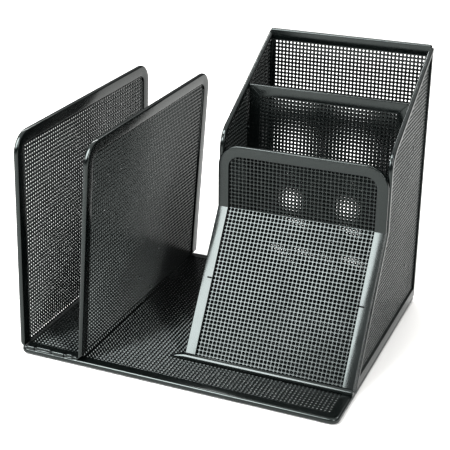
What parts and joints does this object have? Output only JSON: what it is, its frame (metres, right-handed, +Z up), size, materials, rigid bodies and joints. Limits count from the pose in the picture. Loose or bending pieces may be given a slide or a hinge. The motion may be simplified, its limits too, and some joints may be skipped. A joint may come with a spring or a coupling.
{
  "type": "desk organizer",
  "caption": "Black steel mesh desk organizer: framed base tray with an upright file sorter and a stepped caddy with a divider and a sloping memo panel.",
  "frame": {"origin": "middle of the footprint, on the surface that the pads stand on", "axes": "+X to the right along the front edge, from the sorter to the caddy; +Y from the front edge to the back wall; +Z up"},
  "size_m": [0.32, 0.264, 0.2755],
  "materials": {
    "enamel": "semi-gloss black stove enamel on folded steel strip",
    "mesh": "semi-gloss black enamel on perforated steel sheet",
    "rivets": "painted rivet heads",
    "pads": "matt black rubber"
  },
  "bodies": {
    "root": {"base_frame": "enamel", "base_mesh": "mesh", "base_pads": "pads", "sorter_left_mesh": "mesh", "sorter_left_frame": "enamel", "sorter_right_mesh": "mesh", "sorter_right_frame": "enamel", "sorter_floor_mesh": "mesh", "sorter_front_rail": "enamel", "sorter_rear_rail": "enamel", "sorter_front_tabs": "enamel", "sorter_rear_tabs": "enamel", "divider_rivets": "rivets", "caddy_left_mesh": "mesh", "caddy_left_rim": "enamel", "caddy_left_foot_band": "enamel", "caddy_right_mesh": "mesh", "caddy_right_rim": "enamel", "caddy_right_foot_band": "enamel", "caddy_back_mesh": "mesh", "caddy_back_top_band": "enamel", "caddy_back_foot_band": "enamel", "divider_mesh": "mesh", "divider_frame": "enamel", "divider_left_bracket": "enamel", "divider_right_bracket": "enamel", "memo_mesh": "mesh", "memo_frame": "enamel", "memo_ledge": "enamel"}
  },
  "joints": []
}
